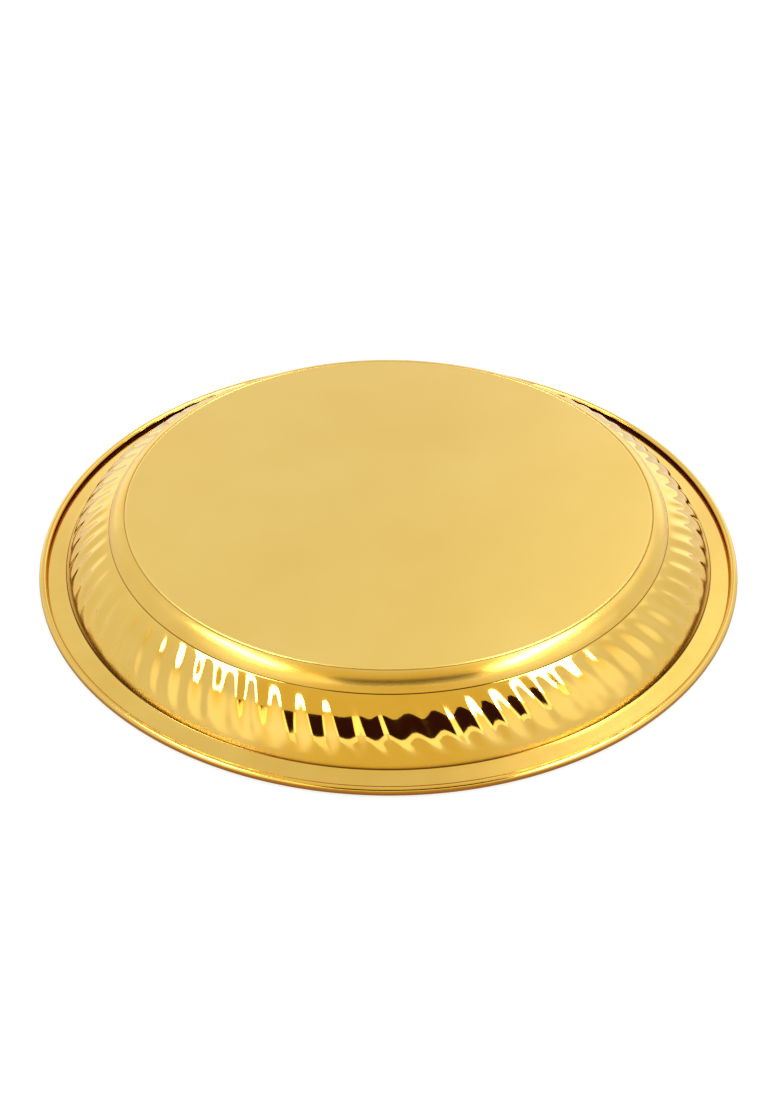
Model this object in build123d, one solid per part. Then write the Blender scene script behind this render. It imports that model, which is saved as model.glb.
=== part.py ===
from build123d import *
import os
from math import atan2, cos, hypot, pi, radians, sin, sqrt, tan

# Thali plate of hammered brass sheet, lying face down: the base is on top and the rim rests on the table.
# Millimetres and degrees. +Z is the plate's axis; the origin is the rim's centre on the table.

# Driving dimensions: the sheet and its form, with widths and heights measured on the underside
sheet = 0.8
rim_diameter = 300.0
rim_width = 11.25
flange_rise = 1.1
wall_width = 19.95
wall_radius = 29.4
shoulder_width = 7.1
shoulder_height = 5.4
shoulder_flats = 3
base_edge_slope = 5.0
overall_height = 25.0

# Driving dimensions: the wired edge, whose roll, bore and wire are drawn with flat sides
wire_diameter = 1.6
wire_clearance = 0.05
wire_butt_gap = 0.5
curl_tip_gap = 1.5
roll_sides = 8
wire_sides = 6

# Driving dimensions: the hammered flutes, with the plain foot band measured along the wall
flute_count = 82
dent_depth = 0.5
flute_lean = 20.0
foot_band = 4.5
underside_rings = 7
eating_side_rings = 5

# The curl wraps the wire and stands on the table; the flange comes down to it and is level under the wire
curl_bore = wire_diameter / 2 + wire_clearance
curl_radius = curl_bore + sheet
curl_across = rim_diameter / 2 - curl_radius

# Corners of the underside's half section, from the rim inwards, as distance from the axis and height
flange_end = Vector(curl_across - curl_bore, sheet)
foot = Vector(rim_diameter / 2 - rim_width, sheet + flange_rise)
crease = Vector(foot.X - wall_width, overall_height - shoulder_height)
base_edge = Vector(crease.X - shoulder_width, overall_height)

# The wall is an arc from the crease to the foot; a tilt is the angle of its normal from the axis
chord = hypot(foot.X - crease.X, foot.Y - crease.Y)
chord_slope = atan2(crease.Y - foot.Y, foot.X - crease.X)
chord_to_centre = sqrt(wall_radius**2 - (chord / 2) ** 2)
wall_across = (crease.X + foot.X) / 2 - chord_to_centre * sin(chord_slope)
wall_height = (crease.Y + foot.Y) / 2 - chord_to_centre * cos(chord_slope)
crease_tilt = atan2(crease.X - wall_across, crease.Y - wall_height)
foot_tilt = atan2(foot.X - wall_across, foot.Y - wall_height)
band_end_tilt = foot_tilt - foot_band / wall_radius


def on_wall(radius, tilt):
    """The half section's point at a radius and tilt about the wall's centre."""
    return Vector(wall_across + radius * sin(tilt), wall_height + radius * cos(tilt))


def struck_ring(radius, share):
    """One closed ring of scallops round the wall, at a share of the way down the hammered band."""
    tilt = crease_tilt + share * (band_end_tilt - crease_tilt)
    lean_length = wall_radius * (tilt - crease_tilt) * tan(radians(flute_lean))
    lean = lean_length / ((crease.X + foot.X) / 2)
    pitch = 2 * pi / flute_count
    ridge = on_wall(radius, tilt)
    hollow = on_wall(radius - dent_depth * sin(pi * share), tilt)

    def turned(point, angle):
        return Vector(point.X * cos(angle), point.X * sin(angle), point.Y)

    scallops = []
    for flute in range(flute_count):
        start = flute * pitch + lean
        scallops.append(
            Edge.make_three_point_arc(
                turned(ridge, start),
                turned(hollow, start + pitch / 2),
                turned(ridge, start + pitch),
            )
        )
    return Wire(scallops)


def spun(line):
    """The solid of revolution inside a line of the half section, closed level to the axis at its ends."""
    section = Polyline((0, line[0].Y), *line, (0, line[-1].Y), close=True)
    return revolve(Plane.XZ * make_face(section.edges()), Axis.Z)


def under_face(cap, radius, skirt, rings, straight):
    """The solid under one face of the sheet: spun cap and skirt, and the hammered band between them."""
    struck_rings = [struck_ring(radius, ring / (rings - 1)) for ring in range(rings)]
    return spun(cap) + Solid.make_loft(struck_rings, straight) + spun(skirt)


def one_sheet_below(line):
    """A line of the half section moved down by the sheet's thickness, with its corners mitred."""
    runs = [(after - before).normalized() for before, after in zip(line, line[1:])]
    normals = [Vector(-run.Y, run.X) for run in runs]
    moved = [line[0] - normals[0] * sheet]
    for corner, before, after in zip(line[1:], normals, normals[1:]):
        moved.append(corner - (before + after) * (sheet / (1 + before.dot(after))))
    return [*moved, line[-1] - normals[-1] * sheet]


def plate_shell():
    """The whole sheet: what is under its underside, less what is under its eating side, and the curl."""
    slope = radians(base_edge_slope)
    shoulder_arc = TangentArc([base_edge, crease], tangent=(cos(slope), -sin(slope)))
    shoulder = [shoulder_arc @ (flat / shoulder_flats) for flat in range(shoulder_flats + 1)]
    cap = [Vector(0, overall_height), *shoulder]
    flange = [on_wall(wall_radius, band_end_tilt), foot, flange_end, Vector(curl_across, sheet)]
    skirt = [*flange, Vector(curl_across, 0)]
    underside = under_face(cap[1:], wall_radius, skirt, underside_rings, False)

    inner_radius = wall_radius - sheet
    inner_cap = [*one_sheet_below(cap), on_wall(inner_radius, crease_tilt)]
    inner_foot, inner_flange_end = one_sheet_below(flange)[1:3]
    inner_skirt = [on_wall(inner_radius, band_end_tilt), inner_foot, inner_flange_end]
    eating_side = under_face(inner_cap[1:], inner_radius, inner_skirt, eating_side_rings, True)
    return underside - eating_side + curl()


def edge_section(apothem, sides):
    """Many-sided section of the roll, its bore or the wire about the curl's centre, flat side down."""
    flat_turn = 180 / sides - 90
    polygon = RegularPolygon(apothem, sides, major_radius=False, rotation=flat_turn)
    return Pos(curl_across, curl_radius) * polygon


def curl():
    """The rolled edge: it goes round and over the wire, and its tip stops short, so the wire shows inside."""
    over_flange = Rectangle(2 * curl_radius, sheet + curl_tip_gap, align=(Align.MAX, Align.MIN))
    roll = edge_section(curl_radius, roll_sides) - edge_section(curl_bore, wire_sides)
    return revolve(Plane.XZ * (roll - Pos(curl_across, 0) * over_flange), Axis.Z)


def rim_wire():
    """The wire in the curl, one open ring whose ends nearly meet."""
    gap_angle = wire_butt_gap / curl_across * 180 / pi
    section = edge_section(wire_diameter / 2, wire_sides)
    return revolve(Plane.XZ * section, Axis.Z, 360 - gap_angle)


os.makedirs("parts", exist_ok=True)
export_step(plate_shell(), "parts/plate_shell.step")
export_step(rim_wire(), "parts/rim_wire.step")
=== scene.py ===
import random
from math import asin, atan2, cos, pi, radians, sin, sqrt, tan
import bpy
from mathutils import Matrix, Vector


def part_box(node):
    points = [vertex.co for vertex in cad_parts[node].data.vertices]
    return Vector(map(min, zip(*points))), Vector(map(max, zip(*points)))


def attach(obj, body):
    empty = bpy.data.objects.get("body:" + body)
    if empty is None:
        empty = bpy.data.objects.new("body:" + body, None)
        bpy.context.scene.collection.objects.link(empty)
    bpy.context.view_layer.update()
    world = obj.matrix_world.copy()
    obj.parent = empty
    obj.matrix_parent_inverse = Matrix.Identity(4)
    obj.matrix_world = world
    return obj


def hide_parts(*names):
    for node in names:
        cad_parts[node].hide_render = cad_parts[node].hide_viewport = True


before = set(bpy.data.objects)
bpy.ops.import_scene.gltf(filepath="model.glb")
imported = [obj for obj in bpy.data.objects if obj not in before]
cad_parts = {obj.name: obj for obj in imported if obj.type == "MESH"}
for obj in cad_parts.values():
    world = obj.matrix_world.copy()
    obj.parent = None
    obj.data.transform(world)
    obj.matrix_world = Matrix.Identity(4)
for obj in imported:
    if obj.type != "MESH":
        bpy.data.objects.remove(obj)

from types import SimpleNamespace

import bmesh
import bpy
from bpy.props import FloatProperty, FloatVectorProperty, IntProperty, PointerProperty
from mathutils import Matrix, Vector

bl_info = {
    "name": "Thali plate",
    "version": (1, 0, 0),
    "blender": (4, 5, 0),
    "location": "View3D > Sidebar > Thali",
    "description": "Dresses a hammered brass thali plate that lies face down on its rim",
    "category": "Add Mesh",
}

MM = 0.001
PLATE_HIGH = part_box("plate_shell")[1]
WIRE_LOW, WIRE_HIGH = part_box("rim_wire")
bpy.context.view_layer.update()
PHOTO_WIDTH, PHOTO_HEIGHT = 780, 1108


def linear(hex_colour):
    """A hex sRGB colour as the linear values that Blender's sockets take."""
    channels = [int(hex_colour[place : place + 2], 16) / 255 for place in (0, 2, 4)]
    return [c / 12.92 if c <= 0.04045 else ((c + 0.055) / 1.055) ** 2.4 for c in channels]


def length(name, description, metres):
    """A size of the plate in metres."""
    return FloatProperty(
        name=name,
        description=description,
        default=metres,
        min=0.0,
        precision=5,
        unit="LENGTH",
        subtype="DISTANCE",
    )


def angle(name, description, turn):
    """An angle of the plate or the stage, given in degrees."""
    return FloatProperty(name=name, description=description, default=radians(turn), subtype="ANGLE")


def share(name, description, part):
    """A share of a length or a depth."""
    return FloatProperty(name=name, description=description, default=part, min=0.0, max=2.0, subtype="FACTOR")


def colour(name, description, hex_colour):
    """A colour given as a hex sRGB value."""
    return FloatVectorProperty(
        name=name,
        description=description,
        default=linear(hex_colour),
        min=0.0,
        max=1.0,
        size=3,
        subtype="COLOR",
    )


class ThaliSheetSizes(bpy.types.PropertyGroup):
    """Sizes of the brass sheet and its form."""

    rim_radius: length("Rim radius", "From the axis to the outer edge of the rolled rim", PLATE_HIGH.x)
    overall_height: length("Height", "From the table to the base's underside", PLATE_HIGH.z)
    sheet: length("Sheet", "Thickness of the brass sheet", 0.8 * MM)
    rim_width: length("Rim width", "From the wall's foot to the outer edge", 11.25 * MM)
    flange_rise: length("Flange rise", "From the flange's end at the roll up to the wall's foot", 1.1 * MM)
    wall_width: length("Wall width", "From the crease to the wall's foot, level", 19.95 * MM)
    wall_radius: length("Wall radius", "Radius of the wall's bulge in section", 30.24 * MM)
    foot_band_width: length("Foot band width", "Level width of the straighter band at the foot", 2.48 * MM)
    foot_band_height: length("Foot band height", "Height of the straighter band at the foot", 4.61 * MM)
    shoulder_width: length("Shoulder width", "From the base's edge to the crease, level", 7.1 * MM)
    shoulder_height: length("Shoulder height", "From the crease up to the base", 5.4 * MM)
    base_edge_slope: angle("Base edge slope", "Slope at which the shoulder leaves the base", 5.0)
    crease_rounding: length("Crease rounding", "Inside radius where the shoulder meets the wall", 0.8 * MM)
    foot_rounding: length("Foot rounding", "Inside radius where the wall meets the flange", 0.5 * MM)
    base_line_width: length("Base line width", "Width of the turned line round the base's edge", 0.5 * MM)
    base_line_depth: length("Base line depth", "Depth of the turned line round the base's edge", 0.2 * MM)
    wire_clearance: length("Wire clearance", "Room between the wire and the roll", 0.05 * MM)
    curl_tip_gap: length("Curl tip gap", "Height of the roll's tip over the flange", 1.5 * MM)


class ThaliFluteSizes(bpy.types.PropertyGroup):
    """Sizes of the hammered flutes round the wall."""

    count: IntProperty(name="Flutes", description="Number of flutes round the wall", default=82, min=3)
    depth: length("Flute depth", "Depth of a flute between two ridges", 0.5 * MM)
    turn: angle("Flute turn", "Turn of the first flute from the right-hand side", 0.8)
    lean: angle("Flute lean", "Lean of the flutes from straight down the wall", 20.0)
    top: share("Flute top", "Share of the way down the wall where the flutes begin", 0.02)
    tip: share("Flute tip", "Share of the way down the wall where the flutes end", 0.86)
    arch: share("Arch", "Share of a flute's length over which its rounded top deepens", 0.3)
    point: share("Point", "Share of a flute's length over which it fades to its tip", 0.22)
    ridge: share("Ridge", "Share of a flute's half width that its rounded ridge takes", 0.5)
    tip_width: share("Tip width", "Width of a flute at its tip against its full width", 0.7)
    uneven: share("Unevenness", "How far hand hammering shifts the ridges, as a share of the spacing", 0.07)


class ThaliWireSizes(bpy.types.PropertyGroup):
    """Sizes of the wire in the rolled rim."""

    diameter: length("Wire", "Diameter of the wire", WIRE_HIGH.z - WIRE_LOW.z)
    butt_gap: length("Butt gap", "Gap between the wire's two ends", 0.5 * MM)


class ThaliFinish(bpy.types.PropertyGroup):
    """Colours of the plate's metals, and of the shade painted on them."""

    brass: colour("Brass", "Colour of the clean polished brass", "EAC566")
    brass_deep: colour("Deep brass", "Colour of the brass where it has gone a little darker", "DDB14D")
    satin: colour("Satin brass", "Colour of the base's satin brass", "E8C86E")
    satin_deep: colour("Deep satin brass", "Colour of the base where it is a little darker", "DEB859")
    # The next colour is painted shade, drawn as thin dark lines in the corners at the base's edge, the crease
    # and the wall's foot
    crease_shade: colour("Crease shade", "Colour of the old polish that stays in the corners", "5A3208")
    # The next colour is painted shade on the rolled edge's outer side, where the roll mirrors the floor's
    # shadow close beside it
    rim_contact_shade: colour("Rim contact shade", "Colour of the brown on the rolled edge's outer side", "A0641C")
    iron: colour("Iron", "Colour of the dark annealed wire in the rim", "4A220C")


class ThaliStage(bpy.types.PropertyGroup):
    """Place of the camera and colours of the stage."""

    camera_distance: length("Camera distance", "From the middle of the rim to the camera", 0.572)
    camera_elevation: angle("Camera elevation", "Height angle of the camera over the table", 37.22)
    camera_roll: angle("Camera roll", "Turn of the camera about its own line of sight", 0.14)
    aim_down: angle("Aim down", "How far under the middle of the rim the camera aims", 0.72)
    aim_right: angle("Aim right", "How far to the right of the middle of the rim the camera aims", 0.08)
    focal_pixels: FloatProperty(
        name="Focal length", description="In pixels of the photograph", default=1300.0, subtype="PIXEL"
    )
    backdrop: colour("Backdrop", "Colour of the floor and the backdrop", "FFFFFF")
    tent: colour("Tent", "Colour of the light that comes through the tent's sides", "F1F3FF")
    roof: colour("Tent roof", "Colour of the light that comes through the tent's roof", "FFEDA6")
    card: colour("Dark card", "Colour of the dark of the room round the camera", "301416")


def section_point(across, height):
    """A point of the half section, by its distance from the axis and its height."""
    return Vector((across, 0.0, height))


def on_circle(centre, radius, tilt):
    """The section point at a radius and tilt about a centre; a tilt is a normal's angle from the axis."""
    return centre + radius * section_point(sin(tilt), cos(tilt))


def tilt_about(centre, point):
    """The tilt of a point of the section, seen from a centre."""
    return atan2(point.x - centre.x, point.z - centre.z)


def circles_meeting(first, first_reach, second, second_reach):
    """The outer of the two points at the given reaches from two centres."""
    between = second - first
    along = (first_reach**2 - second_reach**2 + between.length_squared) / (2 * between.length)
    aside = sqrt(first_reach**2 - along**2)
    course = between.normalized()
    outwards = section_point(-course.z, course.x)
    if outwards.x < 0:
        outwards.negate()
    return first + along * course + aside * outwards


def line_meeting(start, run, centre, reach):
    """The point along a run from a start that is at a reach from a centre, on its way out."""
    course = run.normalized()
    behind = (start - centre).dot(course)
    return start + course * (sqrt(reach**2 - (start - centre).length_squared + behind**2) - behind)


def sheet_form(sizes, wire):
    """Centres, radii and tilts of the underside's half section, worked out from the plate's sizes."""
    form = SimpleNamespace()
    form.curl_bore = wire.diameter / 2 + sizes.wire_clearance
    form.curl_radius = form.curl_bore + sizes.sheet
    form.curl_centre = section_point(sizes.rim_radius - form.curl_radius, form.curl_radius)
    tip_drop = form.curl_radius - sizes.sheet - sizes.curl_tip_gap
    form.curl_end = -pi / 2 - asin(tip_drop / form.curl_radius)

    form.flange_end = section_point(form.curl_centre.x - form.curl_bore, sizes.sheet)
    foot = section_point(sizes.rim_radius - sizes.rim_width, sizes.sheet + sizes.flange_rise)
    form.crease = section_point(foot.x - sizes.wall_width, sizes.overall_height - sizes.shoulder_height)
    form.base_edge = section_point(form.crease.x - sizes.shoulder_width, sizes.overall_height)
    form.foot = foot

    band = foot + section_point(-sizes.foot_band_width, sizes.foot_band_height)
    chord = band - form.crease
    sag = sqrt(sizes.wall_radius**2 - chord.length_squared / 4)
    form.wall_centre = (band + form.crease) / 2 - sag * section_point(-chord.z, chord.x).normalized()
    form.crease_tilt = tilt_about(form.wall_centre, form.crease)
    form.band_start = tilt_about(form.wall_centre, band)
    band_drop = foot - band
    band_normal = on_circle(section_point(0.0, 0.0), 1.0, form.band_start)
    form.band_radius = -band_drop.length_squared / (2 * band_drop.dot(band_normal))
    form.band_centre = band - form.band_radius * band_normal
    form.foot_tilt = tilt_about(form.band_centre, foot)

    drop = atan2(sizes.shoulder_height, sizes.shoulder_width)
    shoulder_chord = (form.crease - form.base_edge).length
    form.shoulder_radius = shoulder_chord / (2 * sin(drop - sizes.base_edge_slope))
    form.shoulder_centre = on_circle(form.base_edge, -form.shoulder_radius, sizes.base_edge_slope)

    form.crease_round = circles_meeting(
        form.shoulder_centre,
        form.shoulder_radius + sizes.crease_rounding,
        form.wall_centre,
        sizes.wall_radius + sizes.crease_rounding,
    )
    form.shoulder_end = tilt_about(form.shoulder_centre, form.crease_round)
    form.wall_start = tilt_about(form.wall_centre, form.crease_round)

    form.flange_tilt = atan2(sizes.flange_rise, form.flange_end.x - foot.x)
    over_foot = on_circle(foot, sizes.foot_rounding, form.flange_tilt)
    foot_reach = form.band_radius + sizes.foot_rounding
    form.foot_round = line_meeting(over_foot, form.flange_end - foot, form.band_centre, foot_reach)
    form.band_end = tilt_about(form.band_centre, form.foot_round)
    return form


class SectionPen:
    """Draws a half section in a bmesh by extruding and spinning its last vertex."""

    def __init__(self, bm, start):
        self.bm = bm
        self.end = bm.verts.new(start)

    def line(self, stop, steps=1):
        """A straight run to a point, in equal steps."""
        start = self.end.co.copy()
        for step in range(1, steps + 1):
            self.end = bmesh.ops.extrude_vert_indiv(self.bm, verts=[self.end])["verts"][0]
            self.end.co = start.lerp(stop, step / steps)

    def arc(self, centre, turn, steps):
        """A round run about a centre; a positive turn goes from the axis outwards and down."""
        spun = bmesh.ops.spin(
            self.bm,
            geom=[self.end],
            cent=centre,
            axis=(0, 1, 0),
            angle=turn,
            steps=steps,
            use_duplicate=False,
        )
        self.end = next(item for item in spun["geom_last"] if isinstance(item, bmesh.types.BMVert))


# Faces across a flute, and across each run of the section on the underside and on the eating side
FLUTE_COLUMNS = 8
BASE_ROWS, INNER_BASE_ROWS = 3, 2
SHOULDER_ROWS, INNER_SHOULDER_ROWS = 10, 8
CREASE_ROWS = 5
WALL_ROWS, INNER_WALL_ROWS = 28, 14
BAND_ROWS, INNER_BAND_ROWS = 8, 4
FOOT_ROWS, INNER_FOOT_ROWS = 6, 5
FLANGE_ROWS, INNER_FLANGE_ROWS = 4, 2
ROLL_ROWS, BORE_ROWS = 18, 14

# Faces round the wire's section and along it, and the fold past which an edge is drawn sharp
WIRE_SIDES = 12
WIRE_STEPS = 328
SHARP_FOLD = radians(50)


def draw_sheet_section(bm, sizes, form):
    """The sheet's closed half section: the underside, round the roll, and back on the eating side."""
    sheet = sizes.sheet
    top = sizes.overall_height
    flat_end = form.base_edge.x - sheet
    line_width, line_depth = sizes.base_line_width, sizes.base_line_depth
    pen = SectionPen(bm, section_point(0.0, top))
    pen.line(section_point(flat_end, top), BASE_ROWS)
    pen.line(section_point(form.base_edge.x - line_width, top))
    pen.line(section_point(form.base_edge.x - line_width / 2, top - line_depth))
    pen.line(form.base_edge)
    pen.arc(form.shoulder_centre, form.shoulder_end - sizes.base_edge_slope, SHOULDER_ROWS)
    pen.arc(form.crease_round, form.wall_start - form.shoulder_end, CREASE_ROWS)
    pen.arc(form.wall_centre, form.band_start - form.wall_start, WALL_ROWS)
    pen.arc(form.band_centre, form.band_end - form.band_start, BAND_ROWS)
    pen.arc(form.foot_round, form.flange_tilt - form.band_end, FOOT_ROWS)

    pen.line(form.flange_end, FLANGE_ROWS)
    pen.line(section_point(form.curl_centre.x, sheet))
    wrap = form.curl_end - pi
    pen.arc(form.curl_centre, wrap, BORE_ROWS)
    pen.line(on_circle(form.curl_centre, form.curl_radius, form.curl_end))
    pen.arc(form.curl_centre, -wrap, ROLL_ROWS)
    pen.line(section_point(form.flange_end.x - sheet * tan(form.flange_tilt / 2), 0.0))
    inner_foot = on_circle(form.foot_round, -sizes.foot_rounding - sheet, form.flange_tilt)
    pen.line(inner_foot, INNER_FLANGE_ROWS)

    pen.arc(form.foot_round, form.band_end - form.flange_tilt, INNER_FOOT_ROWS)
    pen.arc(form.band_centre, form.band_start - form.band_end, INNER_BAND_ROWS)
    pen.arc(form.wall_centre, form.wall_start - form.band_start, INNER_WALL_ROWS)
    pen.arc(form.crease_round, form.shoulder_end - form.wall_start, CREASE_ROWS)
    pen.arc(form.shoulder_centre, sizes.base_edge_slope - form.shoulder_end, INNER_SHOULDER_ROWS)
    pen.line(section_point(flat_end, top - sheet))
    pen.line(section_point(0.0, top - sheet), INNER_BASE_ROWS)


def flute_hollow(flutes, down, aside):
    """A flute's depth against its deepest, at a share of its length and of its half width."""
    if not 0.0 < down < 1.0:
        return 0.0
    taper = min(1.0, (1.0 - down) / flutes.point)
    width = flutes.tip_width + (1.0 - flutes.tip_width) * taper
    if abs(aside) > width:
        return 0.0
    ends = sin(pi / 2 * min(1.0, down / flutes.arch)) * sin(pi / 2 * taper)
    across = abs(aside) / width
    if across < 1.0 - flutes.ridge:
        return ends * (1.0 - across**2 / (1.0 - flutes.ridge))
    return ends * (1.0 - across) ** 2 / flutes.ridge


def strike_flutes(bm, sizes, flutes, form):
    """Turns the spun columns along the leaning flutes and presses the flutes into the wall's two faces."""
    chance = random.Random(flutes.count)
    spacing = 2 * pi / flutes.count
    ridges = [(flute + flutes.uneven * chance.uniform(-1, 1)) * spacing for flute in range(flutes.count)]
    ridges.append(ridges[0] + 2 * pi)
    strengths = [1.0 + 2 * flutes.uneven * chance.uniform(-1, 1) for flute in range(flutes.count)]
    reaches = [flutes.uneven * chance.uniform(-1, 1) / 2 for flute in range(flutes.count)]
    wall_run = sizes.wall_radius * (form.band_start - form.crease_tilt)
    whole_run = wall_run + form.band_radius * (form.foot_tilt - form.band_start)
    whole_lean = whole_run * tan(flutes.lean) / ((form.crease.x + form.foot.x) / 2)

    for vert in bm.verts:
        across = vert.co.xy.length
        if across < sizes.sheet:
            continue
        spot = section_point(across, vert.co.z)
        centre, radius = form.wall_centre, sizes.wall_radius
        tilt = tilt_about(centre, spot)
        run = radius * (tilt - form.crease_tilt)
        if tilt > form.band_start:
            centre, radius = form.band_centre, form.band_radius
            tilt = tilt_about(centre, spot)
            run = wall_run + radius * (tilt - form.band_start)
        down_wall = min(max(run / whole_run, 0.0), 1.0)
        column = round(atan2(vert.co.y, vert.co.x) % (2 * pi) / spacing * FLUTE_COLUMNS)
        flute, place = divmod(column % (flutes.count * FLUTE_COLUMNS), FLUTE_COLUMNS)
        even = 2 * place / FLUTE_COLUMNS - 1
        aside = (even + sin(pi / 2 * even)) / 2
        across_flute = (ridges[flute + 1] - ridges[flute]) * (1 + aside) / 2
        turn = flutes.turn + ridges[flute] + across_flute + whole_lean * down_wall

        reach = (spot - centre).length
        on_wall = min(abs(reach - radius), abs(reach - radius + sizes.sheet)) < sizes.sheet / 10
        if on_wall and form.wall_start < tilt < form.band_end:
            down = (down_wall - flutes.top) / (flutes.tip + reaches[flute] - flutes.top)
            depth = flutes.depth * strengths[flute] * flute_hollow(flutes, down, aside)
            spot = on_circle(centre, reach - depth, tilt)
        vert.co = Matrix.Rotation(turn, 3, "Z") @ spot


def finished_piece(name, bm, materials, node):
    """Makes a bmesh a smooth piece that rides on the plate's body and stands for a node."""
    mesh = bpy.data.meshes.new(name)
    bm.to_mesh(mesh)
    bm.free()
    for material in materials:
        mesh.materials.append(material)
    piece = bpy.data.objects.new(name, mesh)
    bpy.context.scene.collection.objects.link(piece)
    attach(piece, "root")
    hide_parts(node)


def add_node(tree, kind, inputs=None, **settings):
    """Adds a node with its settings, and fills its sockets with values or with links."""
    node = tree.nodes.new(kind)
    for name, value in settings.items():
        setattr(node, name, value)
    for socket, value in (inputs or {}).items():
        if isinstance(value, bpy.types.NodeSocket):
            tree.links.new(value, node.inputs[socket])
        else:
            node.inputs[socket].default_value = value
    return node


def new_material(name):
    """An empty node material and its tree."""
    material = bpy.data.materials.new(name)
    material.use_nodes = True
    material.node_tree.nodes.clear()
    return material, material.node_tree


def brass_tint(tree, place, clean, deep, blotch):
    """Brass colour that drifts between clean and deeper in blotches of a given size."""
    drift = add_node(
        tree, "ShaderNodeTexNoise", {"Vector": place, "Scale": 1 / blotch, "Detail": 3.0, "Roughness": 0.55}
    )
    tint = add_node(
        tree,
        "ShaderNodeMix",
        {"Factor": drift.outputs["Fac"], "A": (*clean, 1.0), "B": (*deep, 1.0)},
        data_type="RGBA",
    )
    return tint.outputs["Result"]


# Half widths of the painted shade lines in the corners and of the painted shade on the rolled edge
EDGE_LINE = 0.4 * MM
CREASE_LINE = 0.2 * MM
RIM_SHADE_WIDTH = 0.55 * MM

# The wall gets duller towards its foot: where that begins and is full, from the foot, and how much it is
DULL_START = 5 * MM
DULL_FULL = 2 * MM
DULLNESS = 2.0


def across_plate(tree, place):
    """The distance from the plate's axis."""
    level = add_node(tree, "ShaderNodeVectorMath", {0: place, 1: (1.0, 1.0, 0.0)}, operation="MULTIPLY")
    across = add_node(tree, "ShaderNodeVectorMath", {0: level.outputs["Vector"]}, operation="LENGTH")
    return across.outputs["Value"]


def turned_lines(tree, across, spacing):
    """Fine rings round the plate's axis, as a tool or a mop leaves them on the turning sheet."""
    rings = add_node(
        tree,
        "ShaderNodeTexNoise",
        {"W": across, "Scale": 1 / spacing, "Detail": 2.0},
        noise_dimensions="1D",
    )
    return rings.outputs["Fac"]


def with_shade_rings(tree, tint, across, rings, painted_shade):
    """A tint with rings of painted shade round the plate, by their distances from the axis and half widths.
    """
    for ring, reach in rings:
        off = add_node(tree, "ShaderNodeMath", {0: across, 1: ring}, operation="SUBTRACT")
        apart = add_node(tree, "ShaderNodeMath", {0: off.outputs["Value"]}, operation="ABSOLUTE")
        near = add_node(
            tree,
            "ShaderNodeMapRange",
            {"Value": apart.outputs["Value"], "From Max": reach, "To Min": 1.0, "To Max": 0.0},
            interpolation_type="SMOOTHSTEP",
        )
        mixed = add_node(
            tree,
            "ShaderNodeMix",
            {"Factor": near.outputs["Result"], "A": tint, "B": (*painted_shade, 1.0)},
            data_type="RGBA",
        )
        tint = mixed.outputs["Result"]
    return tint


def relief(tree, pattern, height):
    """A normal that stands a pattern up by a height."""
    bump = add_node(tree, "ShaderNodeBump", {"Height": pattern, "Strength": 1.0, "Distance": height})
    return bump.outputs["Normal"]


# The blur lies across marks that run round the axis, a quarter of a full turn from the tangent
QUARTER_TURN = 0.25


def brass_finish(tree, tint, pattern, smooth, rough, normal, turned=0.0):
    """The metal itself: its roughness follows a pattern, and turned marks blur it more across than along."""
    roughness = add_node(
        tree, "ShaderNodeMapRange", {"Value": pattern, "To Min": smooth, "To Max": rough}, clamp=False
    )
    inputs = {
        "Base Color": tint,
        "Metallic": 1.0,
        "Roughness": roughness.outputs["Result"],
        "Normal": normal,
    }
    if turned:
        round_axis = add_node(tree, "ShaderNodeTangent", direction_type="RADIAL", axis="Z")
        inputs["Tangent"] = round_axis.outputs["Tangent"]
        inputs["Anisotropic"] = turned
        inputs["Anisotropic Rotation"] = QUARTER_TURN
    metal = add_node(tree, "ShaderNodeBsdfPrincipled", inputs)
    add_node(tree, "ShaderNodeOutputMaterial", {"Surface": metal.outputs["BSDF"]})


def satin_brass(finish):
    """Brass rubbed satin on the turning base: no image shows in it, only soft tone and faint rings."""
    material, tree = new_material("satin turned brass")
    place = add_node(tree, "ShaderNodeTexCoord").outputs["Object"]
    tint = brass_tint(tree, place, finish.satin, finish.satin_deep, blotch=60 * MM)
    # The rubbing marks are about 0.1 mm apart; they are drawn at 0.9 mm so that they show
    rings = turned_lines(tree, across_plate(tree, place), spacing=0.9 * MM)
    marks = relief(tree, rings, height=0.003 * MM)
    brass_finish(tree, tint, rings, smooth=0.27, rough=0.33, normal=marks)
    return material


def buffed_shoulder_brass(finish, form):
    """Brass buffed on the turning shoulder: lamps show as soft streaks, and its two edges get painted dark
    lines of shade.
    """
    material, tree = new_material("buffed shoulder brass")
    place = add_node(tree, "ShaderNodeTexCoord").outputs["Object"]
    across = across_plate(tree, place)
    tint = brass_tint(tree, place, finish.brass, finish.brass_deep, blotch=20 * MM)
    # Painted shade: dark lines at the base's edge and at the crease
    edges = [(form.base_edge.x, EDGE_LINE), (form.crease.x, CREASE_LINE)]
    tint = with_shade_rings(tree, tint, across, edges, finish.crease_shade)
    # The mop's marks are about 0.1 mm apart; they are drawn at 0.7 mm so that they show
    rings = turned_lines(tree, across, spacing=0.7 * MM)
    marks = relief(tree, rings, height=0.004 * MM)
    brass_finish(tree, tint, rings, smooth=0.19, rough=0.29, normal=marks, turned=0.85)
    return material


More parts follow.
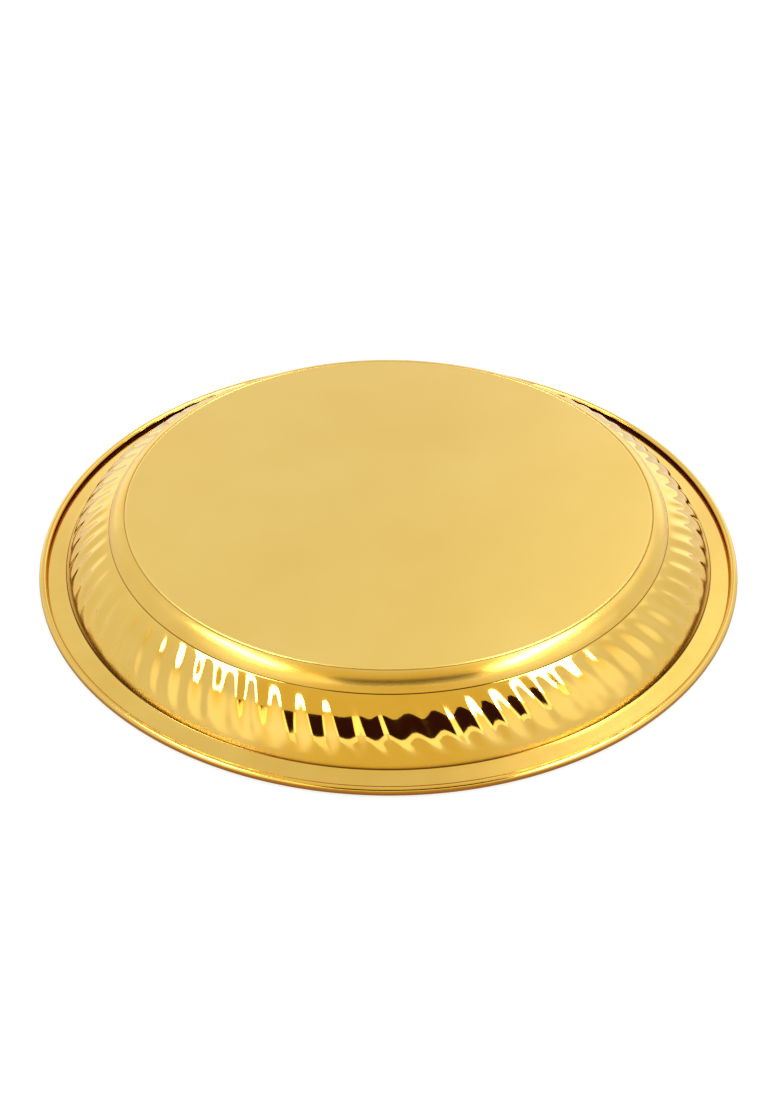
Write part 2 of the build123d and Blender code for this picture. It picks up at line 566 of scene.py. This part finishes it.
def polished_wall_brass(finish, form):
    """Brass polished after hammering: it mirrors the room, a little wavy, and is duller near its foot; its
    crease and foot get painted dark lines of shade.
    """
    material, tree = new_material("polished hammered brass")
    place = add_node(tree, "ShaderNodeTexCoord").outputs["Object"]
    across = across_plate(tree, place)
    tint = brass_tint(tree, place, finish.brass, finish.brass_deep, blotch=20 * MM)
    # Painted shade: dark lines at the crease and at the wall's foot
    edges = [(form.crease.x, CREASE_LINE), (form.foot.x, EDGE_LINE)]
    tint = with_shade_rings(tree, tint, across, edges, finish.crease_shade)
    waves = add_node(tree, "ShaderNodeTexNoise", {"Vector": place, "Scale": 1 / (5 * MM), "Detail": 1.0})
    wavy = waves.outputs["Fac"]
    low = add_node(
        tree,
        "ShaderNodeMapRange",
        {
            "Value": across,
            "From Min": form.foot.x - DULL_START,
            "From Max": form.foot.x - DULL_FULL,
            "To Max": DULLNESS,
        },
    )
    dull = add_node(tree, "ShaderNodeMath", {0: wavy, 1: low.outputs["Result"]}, operation="ADD")
    waviness = relief(tree, wavy, height=0.012 * MM)
    brass_finish(tree, tint, dull.outputs["Value"], smooth=0.03, rough=0.1, normal=waviness)
    return material


def buffed_rim_brass(finish, form):
    """Brass buffed on the turning rim: a clear mirror with faint rings, with painted shade at the wall's foot
    and on its outermost edge.
    """
    material, tree = new_material("buffed rim brass")
    place = add_node(tree, "ShaderNodeTexCoord").outputs["Object"]
    across = across_plate(tree, place)
    tint = brass_tint(tree, place, finish.brass, finish.brass_deep, blotch=20 * MM)
    # Painted shade: a dark line where the rim meets the wall's foot
    tint = with_shade_rings(tree, tint, across, [(form.foot.x, EDGE_LINE)], finish.crease_shade)
    outer_edge = form.curl_centre.x + form.curl_radius
    # Painted shade on the outermost edge, standing for the floor's shadow mirrored there
    tint = with_shade_rings(tree, tint, across, [(outer_edge, RIM_SHADE_WIDTH)], finish.rim_contact_shade)
    # The mop's marks are about 0.1 mm apart; they are drawn at 0.8 mm so that they show
    rings = turned_lines(tree, across, spacing=0.8 * MM)
    marks = relief(tree, rings, height=0.003 * MM)
    brass_finish(tree, tint, rings, smooth=0.07, rough=0.16, normal=marks)
    return material


def annealed_wire_iron(finish):
    """Iron wire with the dark scale of annealing: nearly black, with a dull sheen."""
    material, tree = new_material("dark annealed iron wire")
    place = add_node(tree, "ShaderNodeTexCoord").outputs["Object"]
    grain = add_node(tree, "ShaderNodeTexNoise", {"Vector": place, "Scale": 1 / (0.4 * MM)})
    roughness = add_node(
        tree, "ShaderNodeMapRange", {"Value": grain.outputs["Fac"], "To Min": 0.45, "To Max": 0.65}
    )
    metal = add_node(
        tree,
        "ShaderNodeBsdfPrincipled",
        {"Base Color": (*finish.iron, 1.0), "Metallic": 1.0, "Roughness": roughness.outputs["Result"]},
    )
    add_node(tree, "ShaderNodeOutputMaterial", {"Surface": metal.outputs["BSDF"]})
    return material


class ThaliPlateShell(bpy.types.Operator):
    """Spins the sheet, strikes its flutes and gives each zone its finish"""

    bl_idname = "thali.plate_shell"
    bl_label = "Plate shell"

    def execute(self, context):
        scene = context.scene
        sizes, flutes, finish = scene.thali_sheet, scene.thali_flutes, scene.thali_finish
        form = sheet_form(sizes, scene.thali_wire)
        bm = bmesh.new()
        draw_sheet_section(bm, sizes, form)
        spacing = 2 * pi / flutes.count
        spin = {"cent": (0, 0, 0), "axis": (0, 0, 1)}
        section = bm.verts[:] + bm.edges[:]
        bmesh.ops.spin(bm, geom=section, angle=spacing, steps=FLUTE_COLUMNS, use_duplicate=False, **spin)
        others = flutes.count - 1
        spin["angle"] = others * spacing
        bmesh.ops.spin(bm, geom=bm.faces[:], steps=others, use_duplicate=True, **spin)
        bmesh.ops.remove_doubles(bm, verts=bm.verts, dist=MM / 1000)
        bmesh.ops.recalc_face_normals(bm, faces=bm.faces)
        strike_flutes(bm, sizes, flutes, form)

        zone_ends = (form.base_edge.x, form.crease.x, form.foot.x)
        for face in bm.faces:
            face.smooth = True
            across = face.calc_center_median().xy.length
            face.material_index = sum(across > end for end in zone_ends)
        for edge in bm.edges:
            edge.smooth = edge.calc_face_angle(0.0) < SHARP_FOLD

        materials = [
            satin_brass(finish),
            buffed_shoulder_brass(finish, form),
            polished_wall_brass(finish, form),
            buffed_rim_brass(finish, form),
        ]
        finished_piece("plate_shell_sheet", bm, materials, "plate_shell")
        return {"FINISHED"}


class ThaliRimWire(bpy.types.Operator):
    """Spins the wire that the rim is rolled over"""

    bl_idname = "thali.rim_wire"
    bl_label = "Rim wire"

    def execute(self, context):
        scene = context.scene
        sizes, wire, finish = scene.thali_sheet, scene.thali_wire, scene.thali_finish
        form = sheet_form(sizes, wire)
        bm = bmesh.new()
        ring = bmesh.ops.create_circle(bm, cap_ends=True, segments=WIRE_SIDES, radius=wire.diameter / 2)
        upright = Matrix.Translation(form.curl_centre) @ Matrix.Rotation(pi / 2, 4, "X")
        bmesh.ops.transform(bm, matrix=upright, verts=ring["verts"])
        gap_turn = wire.butt_gap / form.curl_centre.x
        bmesh.ops.spin(
            bm,
            geom=bm.faces[:],
            cent=(0, 0, 0),
            axis=(0, 0, 1),
            angle=2 * pi - gap_turn,
            steps=WIRE_STEPS,
            use_duplicate=False,
        )
        bmesh.ops.recalc_face_normals(bm, faces=bm.faces)
        for face in bm.faces:
            face.smooth = len(face.verts) == 4

        finished_piece("rim_wire_round", bm, [annealed_wire_iron(finish)], "rim_wire")
        return {"FINISHED"}


# Distance of the lamps and the card from the plate, and half the floor's width, in metres
STAGE_REACH = 3.0
FLOOR_REACH = 6.0

# How pale the floor's paper is, and the share of plain white that the camera sees in it
PAPER = 0.55
FLOOR_WHITE = 0.7

# Soft lights and dim parts of the tent: azimuth from the front, to the right, and elevation, then the angles
# from there where the light is full and where it ends, in degrees, and what it adds to the tent's white
TENT_LIGHTS = {
    "left side": (-88, 22, 14, 40, -0.06),
    "right side": (88, 22, 14, 40, -0.06),
    "back left": (-155, 4, 12, 28, 0.5),
    "back right": (155, 4, 12, 28, 0.7),
    "back right high": (150, 46, 6, 21, 0.45),
    "back middle": (-178, 48, 6, 24, -0.14),
    "front left": (-50, 36, 10, 30, 0.45),
    "front right": (72, 36, 10, 30, 0.45),
    "low front": (0, 4, 20, 46, -0.25),
}
TENT_WHITE = 1.15

# The dimmer roof, in the same way, but with its own strength last
ROOF = (0, 76, 18, 50, 0.9)

# Lamps: azimuth and elevation, the width and height that they cover, in degrees, and how bright they look
STRIPS = {
    "left strip": (-92, 62, 36, 8, 14.0),
    "right strip": (100, 63, 44, 9, 14.0),
}

# The dark card: azimuth and elevation of its middle, and its half sizes, in degrees
CARD_PLACE = (9.5, 55.5)
CARD_HALF_WIDTH = 20.5
CARD_HALF_HEIGHT = 14.0

# Lamps round the card: width, height, how bright they look, and how far right of its middle and over it
CARD_LAMPS = {
    "left of the card": (8, 28, 0.8, -25, 0),
    "right of the card": (8, 28, 0.8, 25, 0),
    "under the card": (49, 7, 0.7, 0, -18),
}


def course_from(azimuth, elevation):
    """The direction at an azimuth from the front, to the right, and an elevation, both in degrees."""
    turn, rise = radians(azimuth), radians(elevation)
    return Vector((sin(turn) * cos(rise), -cos(turn) * cos(rise), sin(rise)))


def stage_plane(name, half_width, half_depth, material):
    """A flat stage piece, before it is put in its place."""
    bm = bmesh.new()
    bmesh.ops.create_grid(bm, x_segments=1, y_segments=1, size=1.0)
    bmesh.ops.scale(bm, vec=(half_width, half_depth, 1.0), verts=bm.verts)
    mesh = bpy.data.meshes.new(name)
    bm.to_mesh(mesh)
    bm.free()
    mesh.materials.append(material)
    plane = bpy.data.objects.new(name, mesh)
    bpy.context.scene.collection.objects.link(plane)
    return plane


def facing(place, target):
    """The transform of a thing at a place whose -Z looks at a target and whose top is up."""
    aim = Vector(target) - Vector(place)
    return Matrix.Translation(place) @ aim.to_track_quat("-Z", "Y").to_matrix().to_4x4()


def soft_light(tree, course, azimuth, elevation, core, reach, low, high):
    """A value that goes softly from low to high near a direction, over the courses of the world's light."""
    towards = course_from(azimuth, elevation)
    near = add_node(tree, "ShaderNodeVectorMath", {0: course, 1: towards}, operation="DOT_PRODUCT")
    soft = add_node(
        tree,
        "ShaderNodeMapRange",
        {
            "Value": near.outputs["Value"],
            "From Min": cos(radians(reach)),
            "From Max": cos(radians(core)),
            "To Min": low,
            "To Max": high,
        },
        interpolation_type="SMOOTHSTEP",
    )
    return soft.outputs["Result"]


def stage_world(stage):
    """White to the camera; for the metal a white tent with soft lights, and a warm roof and low front."""
    world = bpy.data.worlds.new("light tent")
    bpy.context.scene.world = world
    world.use_nodes = True
    tree = world.node_tree
    tree.nodes.clear()
    path = add_node(tree, "ShaderNodeLightPath")
    course = add_node(tree, "ShaderNodeTexCoord").outputs["Generated"]
    *roof_place, roof_strength = ROOF
    strength = soft_light(tree, course, *roof_place, TENT_WHITE, roof_strength)
    for *light_place, added in TENT_LIGHTS.values():
        light = soft_light(tree, course, *light_place, 0.0, added)
        both = add_node(tree, "ShaderNodeMath", {0: strength, 1: light}, operation="ADD")
        strength = both.outputs["Value"]
    low_place = TENT_LIGHTS["low front"][:-1]
    warm = add_node(
        tree,
        "ShaderNodeMath",
        {
            0: soft_light(tree, course, *roof_place, 0.0, 1.0),
            1: soft_light(tree, course, *low_place, 0.0, 1.0),
        },
        operation="MAXIMUM",
    )
    tint = add_node(
        tree,
        "ShaderNodeMix",
        {"Factor": warm.outputs["Value"], "A": (*stage.tent, 1.0), "B": (*stage.roof, 1.0)},
        data_type="RGBA",
    )
    tent = add_node(tree, "ShaderNodeBackground", {"Color": tint.outputs["Result"], "Strength": strength})
    white = add_node(tree, "ShaderNodeBackground", {"Color": (*stage.backdrop, 1.0), "Strength": 1.0})
    seen = add_node(
        tree,
        "ShaderNodeMixShader",
        {0: path.outputs["Is Camera Ray"], 1: tent.outputs["Background"], 2: white.outputs["Background"]},
    )
    add_node(tree, "ShaderNodeOutputWorld", {"Surface": seen.outputs["Shader"]})


def stage_floor(stage):
    """A pale floor that looks white to the camera and still takes the plate's shadow."""
    material, tree = new_material("pale paper floor")
    path = add_node(tree, "ShaderNodeLightPath")
    paper = add_node(tree, "ShaderNodeBsdfDiffuse", {"Color": (*[PAPER * c for c in stage.backdrop], 1.0)})
    glow = add_node(tree, "ShaderNodeEmission", {"Color": (*stage.backdrop, 1.0), "Strength": TENT_WHITE})
    white = add_node(
        tree, "ShaderNodeMath", {0: path.outputs["Is Camera Ray"], 1: FLOOR_WHITE}, operation="MULTIPLY"
    )
    floor_look = add_node(
        tree,
        "ShaderNodeMixShader",
        {0: white.outputs["Value"], 1: paper.outputs["BSDF"], 2: glow.outputs["Emission"]},
    )
    add_node(tree, "ShaderNodeOutputMaterial", {"Surface": floor_look.outputs["Shader"]})
    stage_plane("floor", FLOOR_REACH, FLOOR_REACH, material)


def stage_panel(name, azimuth, elevation, width, height, radiance, aside=0, over=0):
    """A studio lamp by the angles that it covers, in degrees; its power makes its face as bright as given."""
    light = bpy.data.lights.new(name, "AREA")
    light.shape = "RECTANGLE"
    light.size = 2 * STAGE_REACH * tan(radians(width / 2))
    light.size_y = 2 * STAGE_REACH * tan(radians(height / 2))
    light.energy = radiance * pi * light.size * light.size_y
    lamp = bpy.data.objects.new(name, light)
    off_centre = STAGE_REACH * Vector((tan(radians(aside)), tan(radians(over)), 0.0))
    place = facing(STAGE_REACH * course_from(azimuth, elevation), (0, 0, 0))
    lamp.matrix_world = place @ Matrix.Translation(off_centre)
    lamp.visible_camera = False
    bpy.context.scene.collection.objects.link(lamp)


def stage_dark_card(stage):
    """The dark of the room round the camera, which only the polished metal shows."""
    material, tree = new_material("dark card")
    dark = add_node(tree, "ShaderNodeBsdfDiffuse", {"Color": (*stage.card, 1.0)})
    add_node(tree, "ShaderNodeOutputMaterial", {"Surface": dark.outputs["BSDF"]})
    half_width = STAGE_REACH * tan(radians(CARD_HALF_WIDTH))
    half_height = STAGE_REACH * tan(radians(CARD_HALF_HEIGHT))
    card = stage_plane("dark_card", half_width, half_height, material)
    card.matrix_world = facing(STAGE_REACH * course_from(*CARD_PLACE), (0, 0, 0))
    card.visible_camera = False
    card.visible_diffuse = False
    card.visible_shadow = False


def stage_camera(stage):
    """The camera at the photograph's viewing angle."""
    camera = bpy.data.cameras.new("camera")
    camera.sensor_fit = "AUTO"
    camera.lens = stage.focal_pixels * camera.sensor_width / max(PHOTO_WIDTH, PHOTO_HEIGHT)
    holder = bpy.data.objects.new("camera", camera)
    elevation = stage.camera_elevation
    place = stage.camera_distance * Vector((0.0, -cos(elevation), sin(elevation)))
    aim = (
        Matrix.Rotation(-stage.aim_right, 4, "Z")
        @ Matrix.Rotation(pi / 2 - elevation - stage.aim_down, 4, "X")
        @ Matrix.Rotation(stage.camera_roll, 4, "Z")
    )
    holder.matrix_world = Matrix.Translation(place) @ aim
    bpy.context.scene.collection.objects.link(holder)
    bpy.context.scene.camera = holder


class ThaliSetStage(bpy.types.Operator):
    """Sets the floor, the lamps and the camera"""

    bl_idname = "thali.stage"
    bl_label = "Stage"

    def execute(self, context):
        stage = context.scene.thali_stage
        context.scene.view_settings.view_transform = "Standard"
        stage_world(stage)
        stage_floor(stage)
        stage_dark_card(stage)
        for name, strip in STRIPS.items():
            stage_panel(name, *strip)
        for name, lamp in CARD_LAMPS.items():
            stage_panel(name, *CARD_PLACE, *lamp)
        stage_camera(stage)
        return {"FINISHED"}


class ThaliPanel(bpy.types.Panel):
    """Lists the plate's sizes, finishes and operators"""

    bl_idname = "VIEW3D_PT_thali"
    bl_label = "Thali plate"
    bl_space_type = "VIEW_3D"
    bl_region_type = "UI"
    bl_category = "Thali"

    def draw(self, context):
        for operator in OPERATORS:
            self.layout.operator(operator.bl_idname)
        for name, group in GROUPS.items():
            box = self.layout.box()
            for size in group.__annotations__:
                box.prop(getattr(context.scene, name), size)


GROUPS = {
    "thali_sheet": ThaliSheetSizes,
    "thali_flutes": ThaliFluteSizes,
    "thali_wire": ThaliWireSizes,
    "thali_finish": ThaliFinish,
    "thali_stage": ThaliStage,
}
OPERATORS = (ThaliPlateShell, ThaliRimWire, ThaliSetStage)


def register():
    for name, group in GROUPS.items():
        bpy.utils.register_class(group)
        setattr(bpy.types.Scene, name, PointerProperty(type=group))
    for cls in (*OPERATORS, ThaliPanel):
        bpy.utils.register_class(cls)


def unregister():
    for cls in reversed((*OPERATORS, ThaliPanel)):
        bpy.utils.unregister_class(cls)
    for name, group in GROUPS.items():
        delattr(bpy.types.Scene, name)
        bpy.utils.unregister_class(group)


def main():
    register()
    bpy.ops.thali.plate_shell()
    bpy.ops.thali.rim_wire()
    bpy.ops.thali.stage()


if __name__ == "__main__":
    main()
